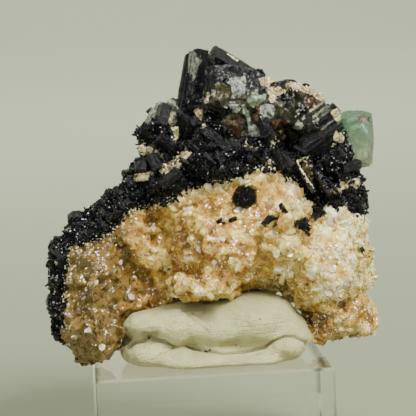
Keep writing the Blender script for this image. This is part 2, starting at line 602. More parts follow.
def centre_fluorite_finish(looks):
    """Dark clear fluorite, frosted on top, with white, cream, rusty and green places."""
    finish = Finish("dark phantom fluorite", **{"Roughness": 0.2, "IOR": 1.434, "Transmission Weight": 0.35})
    cloud = finish.noise(2.6 * MM, 4, 0.6, None, 0.6)
    speck = finish.noise(0.6 * MM, 5, 0.75)
    body = finish.ramp(cloud, (
        (0.34, tint(12, 12, 9)), (0.48, tint(30, 30, 20)), (0.58, tint(56, 52, 34)), (0.68, tint(96, 98, 74)),
    ))
    low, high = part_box("fluorite_centre")
    up = finish.between(finish.axis("Z"), low.z, high.z)
    frost = finish.ramp(speck, (
        (0.38, tint(8, 8, 10)), (0.56, tint(42, 44, 46)), (0.72, tint(98, 100, 98)),
    ))
    top = finish.between(up + (speck - 0.5) * 0.3 + (cloud - 0.5) * 0.2, 0.72, 0.84)
    colour = marked_colours(finish, finish.mix(top, body, frost), speck, cloud)
    relief = finish.bump(finish.facets(1.3 * MM, 0.9), 1.0)
    relief = finish.bump(finish.facets(0.5 * MM, 0.4), 1.0, 1.0, relief)
    rough = speck * 0.4 + 0.12
    return finish.set(Base_Color=colour, Roughness=rough, Normal=relief)


def grey_fluorite_finish(looks):
    finish = Finish("grey fluorite", **{
        "Roughness": 0.3, "IOR": 1.434, "Transmission Weight": 0.3, "Coat Weight": 0.0,
    })
    cloud = finish.noise(1.8 * MM, 4, 0.65)
    body = finish.ramp(cloud, (
        (0.34, tint(40, 40, 36)), (0.48, tint(108, 110, 96)), (0.62, tint(184, 186, 166)),
    ))
    speck = finish.noise(0.5 * MM, 5, 0.7)
    colour = marked_colours(finish, body, speck, cloud)
    relief = finish.bump(finish.facets(1.2 * MM, 0.8), 1.0)
    relief = finish.bump(finish.facets(0.5 * MM, 0.6), 1.0, 1.0, relief)
    return finish.set(Base_Color=colour, Roughness=speck * 0.4 + 0.08, Normal=relief)


def putty_finish(looks):
    """Matte putty with finger ridges, specks of stone and faint stains."""
    finish = Finish("putty", **{"Roughness": 0.85, "IOR": 1.4, "Specular IOR Level": 0.3})
    cloud = finish.noise(6 * MM, 3, 0.6)
    fine = finish.noise(0.7 * MM, 5, 0.7)
    body = finish.mix(finish.between(cloud, 0.3, 0.7), looks.putty, looks.putty_shade)
    hollow = 1 - finish.between(finish.attribute("lift"), 0.05, 0.5)
    body = finish.mix(hollow * 0.6, body, tint(140, 132, 98))
    stain = finish.between(finish.attribute("rust") + fine * 0.4, 0.7, 0.95)
    body = finish.mix(stain * 0.5, body, tint(196, 140, 88))
    freckle = 1 - finish.between(finish.cells(1.6 * MM), 0.05, 0.10)
    dark = (freckle * finish.between(finish.noise(5 * MM), 0.52, 0.6)).most(
        finish.between(finish.attribute("speck") + fine * 0.3, 0.75, 0.95)
    )
    colour = finish.mix(dark * 0.85, body, tint(40, 38, 34))
    lines = finish.stretched((0.18, 0.6, 1.2), (0, 24, 0))
    ridges = finish.noise(0.5 * MM, 3, 0.6, lines, 0.4)
    pits = finish.between(finish.cells(1.1 * MM), 0.0, 0.2)
    grain = finish.noise(0.35 * MM, 3, 0.7)
    relief = finish.bump(ridges * 0.9 + fine * 0.7 + pits * 0.4 + grain * 0.5, 1.1 * MM, 1.0)
    colour = finish.mix(finish.between(grain, 0.55, 0.8) * 0.25, colour, tint(150, 142, 108))
    rough = 0.78 + fine * 0.15
    return finish.set(Base_Color=colour, Roughness=rough, Normal=relief)


def acrylic_finish():
    finish = Finish("clear acrylic", **{
        "Roughness": 0.02, "IOR": 1.49, "Transmission Weight": 1.0, "Base Color": tint(250, 252, 249),
    })
    smear = finish.noise(11 * MM, 4, 0.6)
    scuff = finish.noise(0.5 * MM, 3, 0.8)
    rough = finish.between(smear, 0.45, 0.8) * 0.05 + finish.between(scuff, 0.62, 0.8) * 0.05 + 0.01
    return finish.set(Roughness=rough)


def floor_finish(looks):
    """Plain paper that is darker near the block, lighter behind it, and lit through the clear block."""
    finish = Finish("studio paper", **{"Roughness": 0.95, "Specular IOR Level": 0.1, "Emission Strength": 1.0})
    low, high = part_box("acrylic_block")
    across = high.x - finish.axis("X").size()
    along = high.y - finish.axis("Y").size()
    under = finish.between(across, 0, 2 * MM) * finish.between(along, 0, 2 * MM)
    lit = finish.mix(under, (0, 0, 0, 1), tint(196, 193, 158))
    back = finish.between(finish.axis("Y"), 0.0, 0.9)
    colour = finish.mix(back, looks.paper, looks.paper_far)
    return finish.set(Base_Color=colour, Emission_Color=lit)


# Modelling helpers


def only(*pieces):
    """Selects just these pieces, the first one active."""
    bpy.ops.object.select_all(action="DESELECT")
    for piece in pieces:
        piece.select_set(True)
    bpy.context.view_layer.objects.active = pieces[0]


def apply_all(piece):
    only(piece)
    for modifier in list(piece.modifiers):
        bpy.ops.object.modifier_apply(modifier=modifier.name)
    return piece


def added(name):
    """The piece that a primitive operator has just added."""
    piece = bpy.context.object
    piece.name = name
    piece.data.name = name
    return piece


def placed(piece, matrix):
    """Puts a piece where a matrix says, with its place in its mesh."""
    piece.matrix_world = matrix
    only(piece)
    bpy.ops.object.transform_apply(location=True, rotation=True, scale=True)
    return piece


def wear(piece, material):
    piece.data.materials.clear()
    piece.data.materials.append(material)
    return piece


def copy_node(node, name):
    """A copy of a CAD node's solid, with its loose triangles joined."""
    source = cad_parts[node]
    piece = source.copy()
    piece.data = source.data.copy()
    piece.name = name
    piece.data.name = name
    piece.parent = None
    for key in list(piece.keys()):
        del piece[key]
    bpy.context.collection.objects.link(piece)
    only(piece)
    bpy.ops.object.mode_set(mode="EDIT")
    bpy.ops.mesh.select_all(action="SELECT")
    bpy.ops.mesh.remove_doubles(threshold=0.000005)
    bpy.ops.object.mode_set(mode="OBJECT")
    return piece


def fine_skin(piece, voxel):
    """Remeshes a solid finely, as a skin to be shaped."""
    skin = piece.modifiers.new("Skin", "REMESH")
    skin.mode = "VOXEL"
    skin.voxel_size = voxel
    return apply_all(piece)


def points_of(piece):
    found = np.empty(len(piece.data.vertices) * 3)
    piece.data.vertices.foreach_get("co", found)
    return found.reshape(-1, 3)


def set_mark(piece, name, values):
    """Keeps one number for each vertex, for the finishes and the scattering."""
    mark = piece.data.attributes.get(name) or piece.data.attributes.new(name, "FLOAT", "POINT")
    mark.data.foreach_set("value", np.asarray(values, dtype=np.float32))


def get_mark(piece, name):
    found = np.empty(len(piece.data.vertices), dtype=np.float32)
    piece.data.attributes[name].data.foreach_get("value", found)
    return found


def relief(piece, steps):
    """Pushes the open skin out and in by noise: pattern, size and height of each step; marks the lift."""
    group = piece.vertex_groups.new(name="open")
    open_ones = np.nonzero(get_mark(piece, "open") > 0.5)[0]
    group.add(open_ones.tolist(), 1.0, "REPLACE")
    before = points_of(piece)
    normals = np.empty(len(before) * 3, dtype=np.float32)
    piece.data.vertex_normals.foreach_get("vector", normals)
    for index, (pattern, size, height) in enumerate(steps):
        texture = bpy.data.textures.new(f"{piece.name} {index}", pattern)
        texture.noise_scale = size
        rough = piece.modifiers.new(f"Rough {index}", "DISPLACE")
        rough.texture = texture
        rough.texture_coords = "GLOBAL"
        rough.vertex_group = "open"
        rough.mid_level = 0.5
        rough.strength = height
    apply_all(piece)
    lift = ((points_of(piece) - before) * normals.reshape(-1, 3)).sum(axis=1)
    low, high = np.percentile(lift[open_ones], (3, 97))
    set_mark(piece, "lift", np.clip((lift - low) / (high - low), 0, 1))
    return piece


def tree_of(*pieces):
    """One search tree over several pieces, for finding points on them."""
    joined = bmesh.new()
    for piece in pieces:
        joined.from_mesh(piece.data)
    made = BVHTree.FromBMesh(joined)
    joined.free()
    return made


def mark_near(piece, name, neighbours, reach):
    """Marks how near each vertex is to the neighbours: 1 on them, 0 from the reach on."""
    tree = tree_of(*neighbours)
    near = []
    for vert in piece.data.vertices:
        distance = tree.find_nearest(vert.co, reach)[3]
        near.append(0.0 if distance is None else 1 - distance / reach)
    set_mark(piece, name, near)


def mark_open(piece, reach, node):
    """Marks where a piece is open to the air, not against the solids beside it."""
    others = [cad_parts[name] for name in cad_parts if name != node]
    mark_near(piece, "open", others, reach)
    set_mark(piece, "open", get_mark(piece, "open") <= 0)


def mark_wide(piece, reach):
    """Marks the open part and a strip round it, so that what grows there overhangs the seams."""
    at = points_of(piece)
    clear = get_mark(piece, "open") > 0.5
    tree = KDTree(int(clear.sum()))
    for index, point in enumerate(at[clear]):
        tree.insert(point, index)
    tree.balance()
    wide = clear.astype(float)
    for index in np.nonzero(~clear)[0]:
        if tree.find(at[index])[2] < reach:
            wide[index] = 1
    set_mark(piece, "wide", wide)


def cloud_mark(piece, size, low, high, shift):
    """A cloudy number for each vertex, rising from 0 to 1 between two levels of noise."""
    offset = Vector((shift, 2 * shift, 3 * shift))
    levels = np.array([noise.noise(vert.co / size + offset) for vert in piece.data.vertices])
    return np.clip((levels - low) / (high - low), 0, 1)


def sight(px, py):
    """The camera's place and the direction in which it sees a pixel of the picture."""
    ray = camera_turn() @ Vector((px - PICTURE / 2, PICTURE / 2 - py, -FOCAL))
    return Vector(CAMERA_AT) * MM, ray.normalized()


def seen(tree, px, py):
    """The point and normal of the surface at a pixel; past its edge, the nearest one towards the middle."""
    for step in range(40):
        share = step / 40
        start, ray = sight(px + (PICTURE / 2 - px) * share, py + (PICTURE / 2 - py) * share)
        point, normal, _, _ = tree.ray_cast(start, ray)
        if point:
            return point, normal
    raise ValueError(f"nothing is seen at {px}, {py}")


def pixels_of(points):
    """Where the camera sees points, as pixels of the picture."""
    at = (np.asarray(points) - np.array(CAMERA_AT) * MM) @ np.array(camera_turn())
    return np.stack((PICTURE / 2 - FOCAL * at[:, 0] / at[:, 2], PICTURE / 2 + FOCAL * at[:, 1] / at[:, 2]), axis=1)


def facing(piece, limit=0.1):
    """1 where a piece's surface faces the camera, falling to 0 at its edge."""
    normals = np.empty(len(piece.data.vertices) * 3, dtype=np.float32)
    piece.data.vertex_normals.foreach_get("vector", normals)
    normals = normals.reshape(-1, 3)
    ray = np.array(CAMERA_AT) * MM - points_of(piece)
    ray /= np.linalg.norm(ray, axis=1)[:, None]
    return np.clip((normals * ray).sum(axis=1) / limit, 0, 1), normals


def from_line(pixels, line):
    """How far pixels lie from a broken line, in pixels."""
    away = np.full(len(pixels), 1e9)
    for start, end in zip(line, line[1:]):
        start, end = np.array(start, dtype=float), np.array(end, dtype=float)
        along = end - start
        share = np.clip((pixels - start) @ along / (along @ along), 0, 1)
        away = np.minimum(away, np.linalg.norm(pixels - start - share[:, None] * along, axis=1))
    return away


def within(pixels, outline):
    """1 inside an outline of pixels and 0 outside, with an edge about 2 pixels wide."""
    x, y = pixels.T
    inside = np.zeros(len(pixels), dtype=bool)
    for (x1, y1), (x2, y2) in zip(outline, outline[1:] + outline[:1]):
        if y1 != y2:
            inside ^= ((y1 > y) != (y2 > y)) & (x < (x2 - x1) * (y - y1) / (y2 - y1) + x1)
    away = from_line(pixels, outline + outline[:1])
    return np.clip(0.5 + np.where(inside, away, -away) / 2, 0, 1)


def paint(piece, name, spots=(), outlines=()):
    """Marks places of a piece: round spots, by pixel and radius in mm, and outlines, where it faces the camera."""
    at = points_of(piece)
    mark = np.zeros(len(at))
    if outlines:
        front = facing(piece, 0.3)[0]
        pixels = pixels_of(at)
        for outline in outlines:
            mark = np.maximum(mark, within(pixels, outline) * front)
    if spots:
        tree = tree_of(piece)
        for px, py, radius in spots:
            point, _ = seen(tree, px, py)
            away = np.linalg.norm(at - np.array(point), axis=1) / (radius * MM)
            mark = np.maximum(mark, np.clip(1.5 - away, 0, 1))
    set_mark(piece, name, mark)


def scatter(surface, kinds, name, per_mm2, smallest, largest, tilt, seed, mask="open"):
    """Copies of small pieces over a surface where it is marked, joined as one mesh."""
    host = surface.copy()
    host.data = surface.data.copy()
    host.name = name
    host.data.name = name
    bpy.context.collection.objects.link(host)
    tree = bpy.data.node_groups.new(name, "GeometryNodeTree")
    tree.interface.new_socket("Geometry", in_out="INPUT", socket_type="NodeSocketGeometry")
    tree.interface.new_socket("Geometry", in_out="OUTPUT", socket_type="NodeSocketGeometry")
    wires = Wires(tree)
    start = wires.node("NodeGroupInput")
    where = wires.value("GeometryNodeInputNamedAttribute", {"data_type": "FLOAT"}, {"Name": mask})
    points = wires.node("GeometryNodeDistributePointsOnFaces", None, {
        "Mesh": start.outputs[0], "Density": where * (per_mm2 / MM ** 2), "Seed": seed,
    })
    lean = [math.radians(tilt), math.radians(tilt), math.pi]
    turn = wires.value("FunctionNodeRandomValue", {"data_type": "FLOAT_VECTOR"}, {
        0: [-angle for angle in lean], 1: lean, "Seed": seed + 1,
    })
    turn = wires.value("FunctionNodeEulerToRotation", None, {0: turn})
    turn = wires.value("FunctionNodeRotateRotation", {"rotation_space": "LOCAL"}, {
        "Rotation": points.outputs["Rotation"], "Rotate By": turn,
    })
    scale = wires.value("FunctionNodeRandomValue", {"data_type": "FLOAT_VECTOR"}, {
        0: smallest, 1: largest, "Seed": seed + 2,
    })
    gather = wires.node("GeometryNodeGeometryToInstance")
    for kind in kinds:
        info = wires.node("GeometryNodeObjectInfo", None, {"Object": kind})
        tree.links.new(info.outputs["Geometry"], gather.inputs[0])
    copies = wires.node("GeometryNodeInstanceOnPoints", None, {
        "Points": points.outputs["Points"], "Instance": gather.outputs[0], "Pick Instance": len(kinds) > 1,
        "Rotation": turn, "Scale": scale,
    })
    tone = wires.node("FunctionNodeRandomValue", {"data_type": "FLOAT"}, {"Seed": seed + 3})
    kept = wires.node("GeometryNodeStoreNamedAttribute", {"data_type": "FLOAT", "domain": "INSTANCE"}, {
        "Geometry": copies.outputs[0], "Name": "tone", "Value": tone.outputs[1],
    })
    real = wires.node("GeometryNodeRealizeInstances", None, {0: kept.outputs[0]})
    wires.node("NodeGroupOutput", None, {0: real.outputs[0]})
    spread = host.modifiers.new("Scatter", "NODES")
    spread.node_group = tree
    apply_all(host)
    bpy.data.node_groups.remove(tree)
    return host


def select_where(piece, test):
    """Selects the vertices that pass a test, in edit mode."""
    mesh = bmesh.from_edit_mesh(piece.data)
    for vert in mesh.verts:
        vert.select_set(test(vert.co))
    mesh.select_flush_mode()
    bmesh.update_edit_mesh(piece.data)


def slice_tip(point, normal):
    bpy.ops.mesh.select_all(action="SELECT")
    bpy.ops.mesh.bisect(plane_co=point, plane_no=normal, use_fill=True, clear_outer=True)


def schorl_prism(name, root, tip, radius, sides, ending, chance, fine=False):
    """A schorl crystal: a few uneven faces, or with over 7 sides a grooved one that bulges on three sides."""
    root, tip = Vector(root) * MM, Vector(tip) * MM
    axis = tip - root
    half = axis.length / 2
    radius *= MM
    corners = sides * 3 if sides > 7 else sides
    bpy.ops.object.select_all(action="DESELECT")
    bpy.ops.mesh.primitive_cylinder_add(vertices=corners, radius=radius, depth=2 * half)
    piece = added(name)
    bpy.ops.object.mode_set(mode="EDIT")
    mesh = bmesh.from_edit_mesh(piece.data)
    widths = np.cumsum([chance.uniform(0.6, 1.4) for _ in range(corners)])
    angles = widths / widths[-1] * 2 * math.pi
    if sides > 7:
        reach = [chance.uniform(0.86, 0.93) if corner % 3 == 0 else chance.uniform(0.96, 1.03)
                 for corner in range(corners)]
    else:
        reach = [chance.uniform(0.9, 1.06) for _ in range(corners)]
    for vert in mesh.verts:
        share = math.atan2(vert.co.x, vert.co.y) / (2 * math.pi)
        corner = round(share * corners) % corners
        around = angles[corner]
        bulge = 1 - 0.08 * math.cos(3 * around)
        vert.co.xy = Vector((math.sin(around), math.cos(around))) * radius * reach[corner] * bulge
    bmesh.update_edit_mesh(piece.data)
    if fine:
        cut_edges(piece, True, round(2 * half / (0.36 * MM)))
        if sides < 8:
            cut_edges(piece, False, 5)
    if ending == "pyramid":
        for step in range(3):
            around = math.radians(120 * step + 15)
            slope = Vector((math.cos(around) * 0.75, math.sin(around) * 0.75, 1.0)).normalized()
            slice_tip((0, 0, half), slope)
    else:
        slant = Vector((chance.uniform(-0.6, 0.6), chance.uniform(-0.6, 0.6), 1.0)).normalized()
        slice_tip((0, 0, half - radius * 0.2), slant)
    bpy.ops.mesh.select_all(action="SELECT")
    bpy.ops.uv.cylinder_project(direction="ALIGN_TO_OBJECT", scale_to_bounds=True)
    bpy.ops.object.mode_set(mode="OBJECT")
    face_up = axis.to_track_quat("Z", "Y").to_matrix().to_4x4()
    piece = placed(piece, Matrix.Translation((root + tip) / 2) @ face_up)
    if fine:
        rough = piece.modifiers.new("Rough", "DISPLACE")
        rough.texture = bpy.data.textures.get("crystal grain") or bpy.data.textures.new("crystal grain", "CLOUDS")
        rough.texture.noise_scale = 1.4 * MM
        rough.texture_coords = "GLOBAL"
        rough.strength = 0.25 * MM
        apply_all(piece)
    return piece


def cut_edges(piece, along, cuts):
    """Cuts a prism's long edges, or the ones round it, into shorter ones."""
    bpy.ops.mesh.select_mode(type="EDGE")
    bpy.ops.mesh.select_all(action="DESELECT")
    mesh = bmesh.from_edit_mesh(piece.data)
    for edge in mesh.edges:
        rise = abs(edge.verts[0].co.z - edge.verts[1].co.z) > 0.00001
        edge.select_set(rise == along)
    bmesh.update_edit_mesh(piece.data)
    bpy.ops.mesh.subdivide(number_cuts=cuts)
    bpy.ops.mesh.select_mode(type="VERT")


def seen_prism(tree, name, row, chance, lift=0.35):
    """A schorl crystal between two pixels of the picture, lifted by a share of its radius from what is seen."""
    x1, y1, x2, y2, radius, sides, ending = row
    ends = []
    for px, py in ((x1, y1), (x2, y2)):
        point, normal = seen(tree, px, py)
        ray = sight(px, py)[1]
        ends.append(point - ray * radius * MM * lift)
    depth = [(end - Vector(CAMERA_AT) * MM).length for end in ends]
    near = min(depth) + min(abs(depth[0] - depth[1]), 3 * MM) / 2
    for index, (px, py) in enumerate(((x1, y1), (x2, y2))):
        if abs(depth[index] - near) > 2.5 * MM:
            start, ray = sight(px, py)
            ends[index] = start + ray * near
    root, tip = (end / MM for end in ends)
    return schorl_prism(name, root, tip, radius, sides, ending, chance)


def clear_plate(tree, name, row, chance):
    """A large plate of muscovite that stands out of the surface seen at a pixel."""
    px, py, width, height, turn = row
    point, normal = seen(tree, px, py)
    start, ray = sight(px, py)
    size = (point - start).length / FOCAL
    bpy.ops.object.select_all(action="DESELECT")
    bpy.ops.mesh.primitive_cylinder_add(vertices=chance.choice((5, 6, 7)), radius=0.5, depth=1)
    plate = added(name)
    bpy.ops.object.mode_set(mode="EDIT")
    mesh = bmesh.from_edit_mesh(plate.data)
    for vert in mesh.verts:
        if vert.co.z > 0:
            vert.co.xy *= 0.9
            twin = min(mesh.verts, key=lambda other: (other.co - Vector((*vert.co.xy / 0.9, -0.5))).length)
            reach = chance.uniform(0.55, 1.15)
            vert.co.xy *= reach
            twin.co.xy *= reach
    bmesh.update_edit_mesh(plate.data)
    bpy.ops.object.mode_set(mode="OBJECT")
    lean = Vector([chance.uniform(-0.6, 0.6) for _ in range(3)])
    towards = (-ray * 0.7 + normal * 0.6 + Vector((0, 0, 0.3)) + lean).normalized()
    lean = towards.to_track_quat("Z", "Y").to_matrix().to_4x4()
    lean = lean @ Matrix.Rotation(math.radians(-turn + chance.uniform(-6, 6)), 4, "Z")
    grown = Matrix.Diagonal((width * size * 1.1, height * size * 1.1, 0.3 * MM, 1))
    return placed(plate, Matrix.Translation(point - ray * 0.2 * MM) @ lean @ grown)


def draw_in(piece, crystals):
    """Draws a skin in round the axes of large crystals, which are modelled on their own, and clears it there."""
    at = points_of(piece)
    bare = get_mark(piece, "open")
    for _, root, tip, radius, _, _ in crystals:
        root, tip = np.array(root) * MM, np.array(tip) * MM
        axis = tip - root
        share = np.clip((at - root) @ axis / (axis @ axis), 0, 1)
        nearest = root + share[:, None] * axis
        away = np.linalg.norm(at - nearest, axis=1)
        inside = (away < radius * MM * 1.35) & (share > 0.12)
        at[inside] = nearest[inside] + (at[inside] - nearest[inside]) * 0.55
        bare[inside] = 0
    piece.data.vertices.foreach_set("co", at.ravel())
    piece.data.update()
    set_mark(piece, "open", bare)


def joined(pieces, name):
    """Several pieces as one object."""
    only(*pieces)
    if len(pieces) > 1:
        bpy.ops.object.join()
    return added(name)


def finished(piece, node):
    """Declares a piece: it rides with the stone and may stand for a CAD node."""
    if node:
        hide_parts(*node)
    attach(piece, BODY)
    return piece


def remove(*pieces):
    for piece in pieces:
        bpy.data.objects.remove(piece, do_unlink=True)


# Small crystals that are scattered


def mica_plate(name, layers, material):
    """A six-sided muscovite plate, or a book of a few of them, a little over 2 mm across at size 1."""
    chance = random.Random(name)
    plates = []
    for layer in range(layers):
        bpy.ops.object.select_all(action="DESELECT")
        bpy.ops.mesh.primitive_cylinder_add(
            vertices=6, radius=MM, depth=0.26 * MM,
            location=(chance.uniform(-0.2, 0.2) * MM, chance.uniform(-0.2, 0.2) * MM, 0.24 * MM * layer),
            rotation=(0, 0, chance.uniform(-0.12, 0.12)),
        )
        plate = added(f"{name}_{layer}")
        plate.scale = (1, chance.uniform(0.7, 0.9), 1)
        bpy.ops.object.transform_apply(location=True, rotation=True, scale=True)
        plates.append(plate)
    return wear(joined(plates, name), material)


def small_prism(name, sides, material):
    """A short schorl prism, 1 mm across at size 1, with a three-faced point."""
    bpy.ops.object.select_all(action="DESELECT")
    bpy.ops.mesh.primitive_cylinder_add(vertices=sides, radius=0.5 * MM, depth=2 * MM)
    piece = added(name)
    bpy.ops.object.mode_set(mode="EDIT")
    for step in range(3):
        around = math.radians(120 * step)
        slope = Vector((math.cos(around) * 0.7, math.sin(around) * 0.7, 1.0)).normalized()
        slice_tip((0, 0, MM), slope)
    bpy.ops.mesh.select_all(action="SELECT")
    bpy.ops.uv.cylinder_project(direction="ALIGN_TO_OBJECT", scale_to_bounds=True)
    bpy.ops.object.mode_set(mode="OBJECT")
    return wear(piece, material)


def shard(name, material):
    """A broken piece of schorl, 1 mm across at size 1: a block with its corners struck off."""
    chance = random.Random(name)
    bpy.ops.object.select_all(action="DESELECT")
    bpy.ops.mesh.primitive_cube_add(size=MM)
    piece = added(name)
    bpy.ops.object.mode_set(mode="EDIT")
    for _ in range(5):
        slope = Vector((chance.uniform(-1, 1), chance.uniform(-1, 1), chance.uniform(-1, 1))).normalized()
        slice_tip(slope * MM * chance.uniform(0.38, 0.5), slope)
    bpy.ops.mesh.select_all(action="SELECT")
    bpy.ops.uv.cube_project(cube_size=MM)
    bpy.ops.object.mode_set(mode="OBJECT")
    return wear(piece, material)


# Settings


class MicaLooks(PropertyGroup):
    white: FloatVectorProperty(
        name="White", description="Plates that catch the light", subtype="COLOR", size=4, min=0, max=1,
        default=tint(250, 243, 190))
    pale: FloatVectorProperty(
        name="Pale", description="Thin pale plates", subtype="COLOR", size=4, min=0, max=1,
        default=tint(228, 208, 124))
    gold: FloatVectorProperty(
        name="Gold", description="The common golden colour", subtype="COLOR", size=4, min=0, max=1,
        default=tint(205, 168, 80))
    orange: FloatVectorProperty(
        name="Orange", description="Iron-stained plates", subtype="COLOR", size=4, min=0, max=1,
        default=tint(180, 134, 60))
    deep: FloatVectorProperty(
        name="Deep", description="The darkest stain", subtype="COLOR", size=4, min=0, max=1,
        default=tint(108, 80, 40))
    olive: FloatVectorProperty(
        name="Olive", description="The duller left side", subtype="COLOR", size=4, min=0, max=1,
        default=tint(112, 94, 48))
    books_per_mm2: FloatProperty(
        name="Books", description="Large books of plates on each square millimetre", default=0.03, min=0)
    plates_per_mm2: FloatProperty(
        name="Plates", description="Middle-sized plates on each square millimetre", default=0.14, min=0)
    grains_per_mm2: FloatProperty(
        name="Grains", description="Small plates on each square millimetre", default=0.6, min=0)
    rim_per_mm2: FloatProperty(
        name="Rim", description="Pale plates along the schorl on each square millimetre", default=2.2, min=0)
    seed: IntProperty(name="Seed", description="Changes where the plates lie", default=11)


class SchorlLooks(PropertyGroup):
    black: FloatVectorProperty(
        name="Black", description="Fresh schorl", subtype="COLOR", size=4, min=0, max=1,
        default=tint(8, 8, 11))
    grey: FloatVectorProperty(
        name="Grey", description="Dust and weathering on schorl", subtype="COLOR", size=4, min=0, max=1,
        default=tint(84, 86, 80))
    large_per_mm2: FloatProperty(
        name="Large crystals", description="Crystals of 2 to 4 mm on each square millimetre", default=0.03, min=0)
    middle_per_mm2: FloatProperty(
        name="Middle crystals", description="Crystals of 1 to 2 mm on each square millimetre", default=0.30, min=0)
    small_per_mm2: FloatProperty(
        name="Small crystals", description="Crystals under 1 mm on each square millimetre", default=2.4, min=0)
    seed: IntProperty(name="Seed", description="Changes where the prisms stand", default=23)


class StandLooks(PropertyGroup):
    putty: FloatVectorProperty(
        name="Putty", description="Colour of the putty", subtype="COLOR", size=4, min=0, max=1,
        default=tint(230, 228, 171))
    putty_shade: FloatVectorProperty(
        name="Putty shade", description="Its darker blotches", subtype="COLOR", size=4, min=0, max=1,
        default=tint(210, 206, 147))
    paper: FloatVectorProperty(
        name="Paper", description="Colour of the studio paper", subtype="COLOR", size=4, min=0, max=1,
        default=tint(125, 132, 107))
    paper_far: FloatVectorProperty(
        name="Paper behind", description="Colour of the paper further back", subtype="COLOR", size=4, min=0, max=1,
        default=tint(196, 205, 177))
    key_power: FloatProperty(name="Key light", description="Power of the soft light above", default=10.0, unit="POWER")


# Pieces


class SPECIMEN_OT_block(Operator):
    """Gives the display block its clear polished acrylic"""

    bl_idname = "specimen.block"
    bl_label = "Acrylic block"

    def execute(self, context):
        wear(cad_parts["acrylic_block"], acrylic_finish())
        return {"FINISHED"}


class SPECIMEN_OT_putty(Operator):
    """Models the pressed putty that holds the stone, with its folds and thumb prints"""

    bl_idname = "specimen.putty"
    bl_label = "Putty"

    def execute(self, context):
        putty = fine_skin(copy_node("putty", "pressed_putty"), 0.3 * MM)
        soft = putty.modifiers.new("Soften", "SMOOTH")
        soft.iterations = 24
        apply_all(putty)
        mark_open(putty, 0.3 * MM, "putty")
        free = get_mark(putty, "open")
        front, normals = facing(putty)
        pixels = pixels_of(points_of(putty))
        push = np.zeros(len(pixels))
        for centre, radius, height in PUTTY_LUMPS:
            away = np.linalg.norm(pixels - centre, axis=1) / radius
            push += height * np.clip(1 - away ** 2, 0, 1) ** 2
        swell = np.zeros(len(pixels))
        for centre, radius, height in PUTTY_SWELLS:
            away = np.linalg.norm(pixels - centre, axis=1) / radius
            swell += height * np.clip(1 - away ** 2, 0, 1) ** 2
        for line, depth, half in PUTTY_FOLDS:
            away = from_line(pixels, line) * PIXEL_MM / half
            push -= depth * np.clip(1 - away, 0, 1) ** 1.5
        at = points_of(putty) + normals * ((push * front + swell) * free * MM)[:, None]
        putty.data.vertices.foreach_set("co", at.ravel())
        putty.data.update()
        relief(putty, (("CLOUDS", 7 * MM, 0.5 * MM), ("CLOUDS", 1.6 * MM, 0.10 * MM)))
        at = points_of(putty)
        at[:, 2] = np.maximum(at[:, 2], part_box("acrylic_block")[1].z + PUTTY_REST * MM)
        putty.data.vertices.foreach_set("co", at.ravel())
        putty.data.update()
        deep = np.clip(0.5 + np.minimum(push, 0) * front, 0, 1)
        set_mark(putty, "lift", np.minimum(get_mark(putty, "lift") * 0.4 + 0.4, deep))
        paint(putty, "speck", PUTTY_SPECKS)
        paint(putty, "rust", PUTTY_RUST)
        only(putty)
        bpy.ops.object.shade_smooth()
        wear(putty, putty_finish(context.scene.specimen_stand))
        finished(putty, ["putty"])
        return {"FINISHED"}


